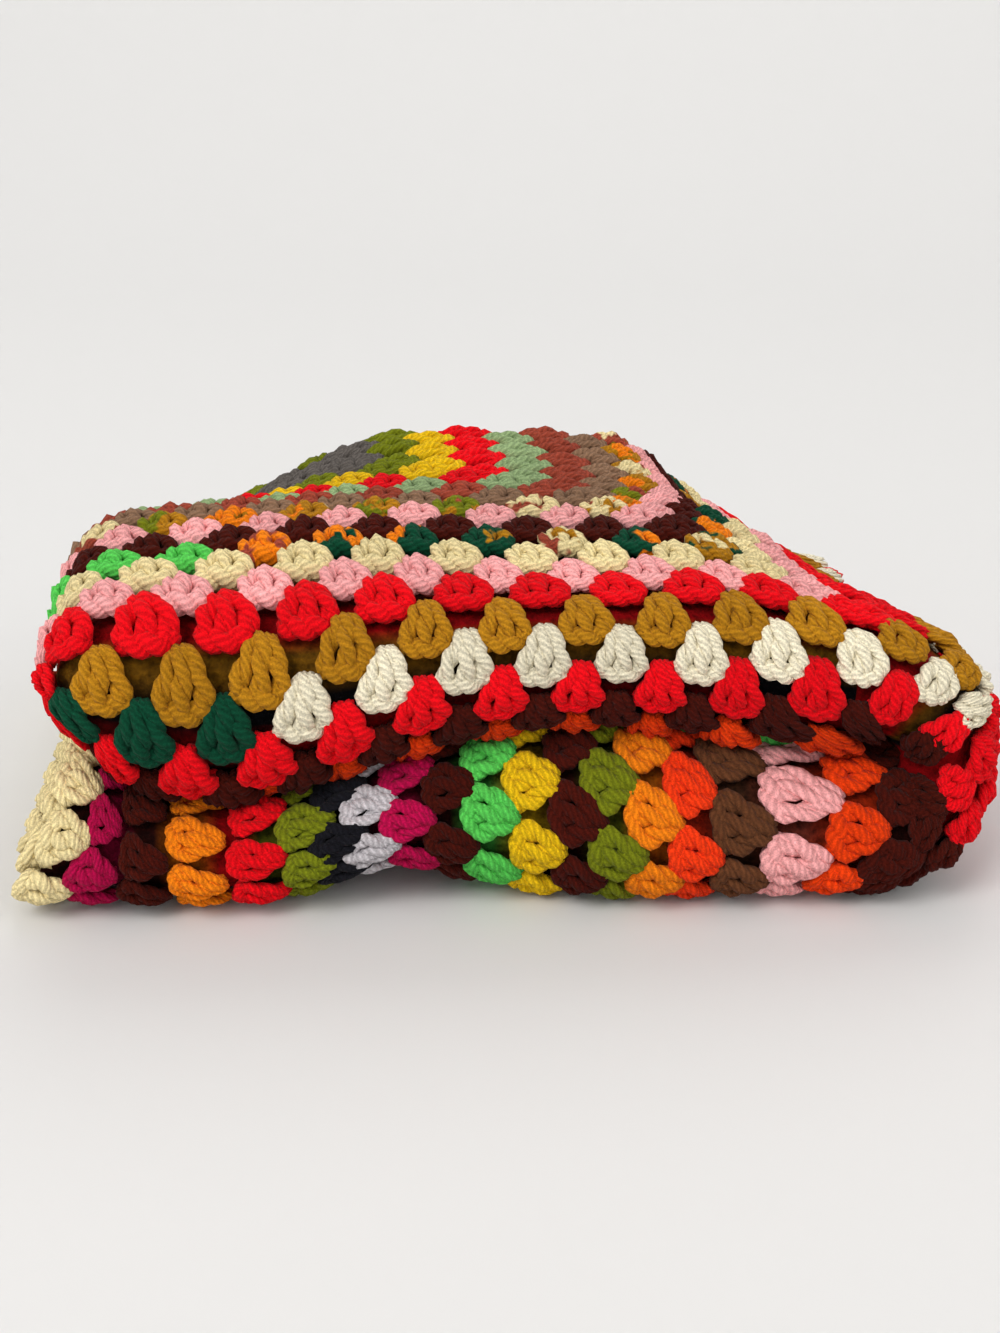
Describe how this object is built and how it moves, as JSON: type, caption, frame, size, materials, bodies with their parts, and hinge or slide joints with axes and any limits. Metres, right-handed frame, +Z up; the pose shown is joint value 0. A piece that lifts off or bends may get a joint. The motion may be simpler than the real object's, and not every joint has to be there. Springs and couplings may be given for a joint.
{
  "type": "folded crochet throw",
  "caption": "Square crocheted granny-stitch throw in stash-coloured rounds, folded into a soft stack that opens at its end fold.",
  "frame": {"origin": "under the middle of the folded stack, on the surface it rests on", "axes": "+X along the front fold towards the closed end fold, +Y from the front fold to the open back, +Z up"},
  "size_m": [0.284, 0.1994, 0.0911],
  "materials": {
    "black": "fuzzy worsted yarn",
    "brick": "fuzzy worsted yarn",
    "brown": "fuzzy worsted yarn",
    "cream": "fuzzy worsted yarn",
    "dark_brown": "fuzzy worsted yarn",
    "green": "fuzzy worsted yarn",
    "green_mix": "fuzzy worsted yarn",
    "grey": "fuzzy worsted yarn",
    "inner": "fuzzy worsted yarn",
    "magenta": "fuzzy worsted yarn",
    "mustard": "fuzzy worsted yarn",
    "mustard_mix": "fuzzy worsted yarn",
    "olive": "fuzzy worsted yarn",
    "orange": "fuzzy worsted yarn",
    "orange_red": "fuzzy worsted yarn",
    "pink": "fuzzy worsted yarn",
    "red": "fuzzy worsted yarn",
    "red_orange": "fuzzy worsted yarn",
    "sage": "fuzzy worsted yarn",
    "taupe": "fuzzy worsted yarn",
    "white": "fuzzy worsted yarn",
    "yellow": "fuzzy worsted yarn"
  },
  "bodies": {
    "lower_half": {"end_core_fold": "inner", "end_middle_fold": "inner", "end_round_15_red": "red", "end_round_16_mustard": "mustard", "end_round_17_white": "white", "end_round_18_red": "red", "end_round_19_dark_brown": "dark_brown", "lower_core_fold": "inner", "lower_middle_fold": "inner", "lower_round_20_orange_red": "orange_red", "lower_round_21_pink": "pink", "lower_round_22_brown": "brown", "lower_round_23_red_orange": "red_orange", "lower_round_24_orange": "orange", "lower_round_25_olive": "olive", "lower_round_26_dark_brown": "dark_brown", "lower_round_27_yellow": "yellow", "lower_round_28_green": "green", "lower_round_29_dark_brown": "dark_brown", "lower_round_30_magenta": "magenta", "lower_round_31_white": "white", "lower_round_32_black": "black", "lower_round_33_olive": "olive", "lower_round_34_red": "red", "lower_round_35_orange": "orange", "lower_round_36_dark_brown": "dark_brown", "lower_round_37_magenta": "magenta", "lower_round_38_cream_edging": "cream"},
    "upper_half": {"upper_centre_grey": "grey", "upper_core_fold": "inner", "upper_middle_fold": "inner", "upper_round_03_olive": "olive", "upper_round_04_yellow": "yellow", "upper_round_05_red": "red", "upper_round_06_sage": "sage", "upper_round_07_brick": "brick", "upper_round_08_taupe": "taupe", "upper_round_09_mustard_mix": "mustard_mix", "upper_round_10_pink": "pink", "upper_round_11_dark_brown": "dark_brown", "upper_round_12_green_mix": "green_mix", "upper_round_13_cream": "cream", "upper_round_14_pink": "pink", "upper_round_15_red": "red", "upper_round_16_mustard": "mustard", "upper_round_17_white": "white", "upper_round_18_red": "red", "upper_round_19_dark_brown": "dark_brown", "upper_round_20_orange_red": "orange_red", "upper_underside": "inner"}
  },
  "joints": [
    {"name": "unfold", "type": "hinge", "parent": "lower_half", "child": "upper_half", "pos_m": [0.09645, 0, 0.04555], "axis": [0, 1, 0], "range_deg": [0, 180], "deforming": ["end_core_fold", "end_middle_fold", "end_round_15_red", "end_round_16_mustard", "end_round_17_white", "end_round_18_red", "end_round_19_dark_brown"]}
  ]
}
